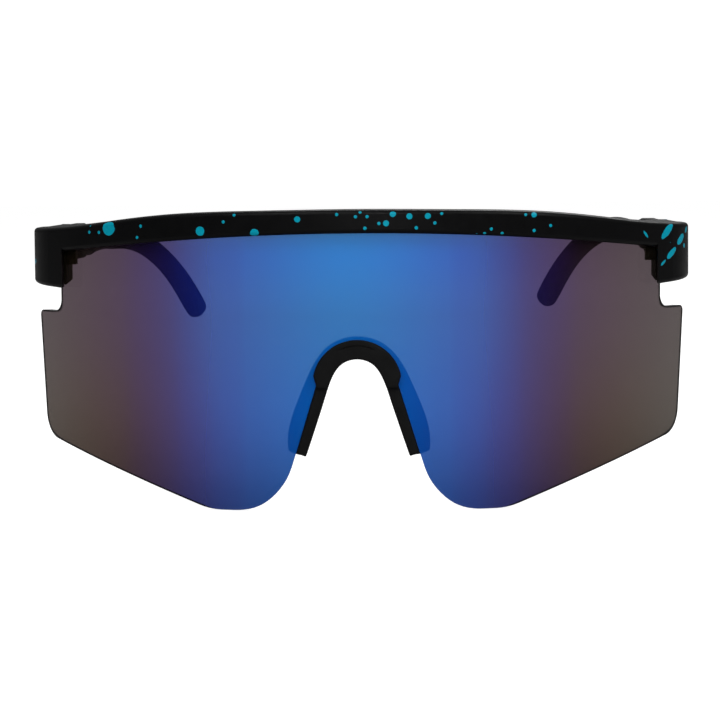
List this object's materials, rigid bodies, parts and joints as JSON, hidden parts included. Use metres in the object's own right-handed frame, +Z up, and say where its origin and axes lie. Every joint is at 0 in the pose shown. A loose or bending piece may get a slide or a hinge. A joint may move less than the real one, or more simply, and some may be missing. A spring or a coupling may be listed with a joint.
{
  "type": "shield sunglasses",
  "caption": "Wraparound sport sunglasses with a one-piece mirrored shield lens hung from a black brow bar, a rubber nose saddle and folding, tilting temples.",
  "frame": {"origin": "middle of the bounding box in plan, at the height of the lens's lowest points", "axes": "+X to the wearer's left across the width, +Y back from the lens to the ears, +Z up"},
  "size_m": [0.148, 0.1539, 0.065],
  "materials": {
    "frame_black": "satin black nylon with cyan paint splatter",
    "temple_black": "satin black nylon",
    "lens_mirror": "polished smoke polycarbonate with a mirror coat that runs from blue at the nose through violet to brown at the sides",
    "nose_rubber": "matt black rubber",
    "sock_rubber": "matt black rubber",
    "steel": "machined",
    "brass": "knurled outside, turned ends"
  },
  "bodies": {
    "front": {"brow_frame": "frame_black", "shield_lens": "lens_mirror", "nose_saddle": "nose_rubber", "nose_wire": "steel", "hinge_screw_left": "steel", "hinge_insert_left": "brass", "hinge_screw_right": "steel", "hinge_insert_right": "brass"},
    "block_left": {"hinge_block_left": "temple_black", "tilt_insert_left": "brass", "tilt_screw_left": "steel", "tilt_washer_left": "steel"},
    "arm_left": {"temple_arm_left": "temple_black", "ear_sock_left": "sock_rubber", "tip_wire_left": "steel"},
    "block_right": {"hinge_block_right": "temple_black", "tilt_insert_right": "brass", "tilt_screw_right": "steel", "tilt_washer_right": "steel"},
    "arm_right": {"temple_arm_right": "temple_black", "ear_sock_right": "sock_rubber", "tip_wire_right": "steel"}
  },
  "joints": [
    {"name": "fold_left", "type": "hinge", "parent": "front", "child": "block_left", "pos_m": [0.0674, -0.02797, 0.0561], "axis": [0, 0, 1], "range_deg": [0, 92]},
    {"name": "fold_right", "type": "hinge", "parent": "front", "child": "block_right", "pos_m": [-0.0674, -0.02797, 0.0561], "axis": [0, 0, -1], "range_deg": [0, 73]},
    {"name": "tilt_left", "type": "hinge", "parent": "block_left", "child": "arm_left", "pos_m": [0.06925, -0.00224, 0.0562], "axis": [0.9969, 0.0785, 0], "range_deg": [-8.8, 7.2]},
    {"name": "tilt_right", "type": "hinge", "parent": "block_right", "child": "arm_right", "pos_m": [-0.06925, -0.00224, 0.0562], "axis": [0.9969, -0.0785, 0], "range_deg": [-7.2, 8.8]}
  ]
}
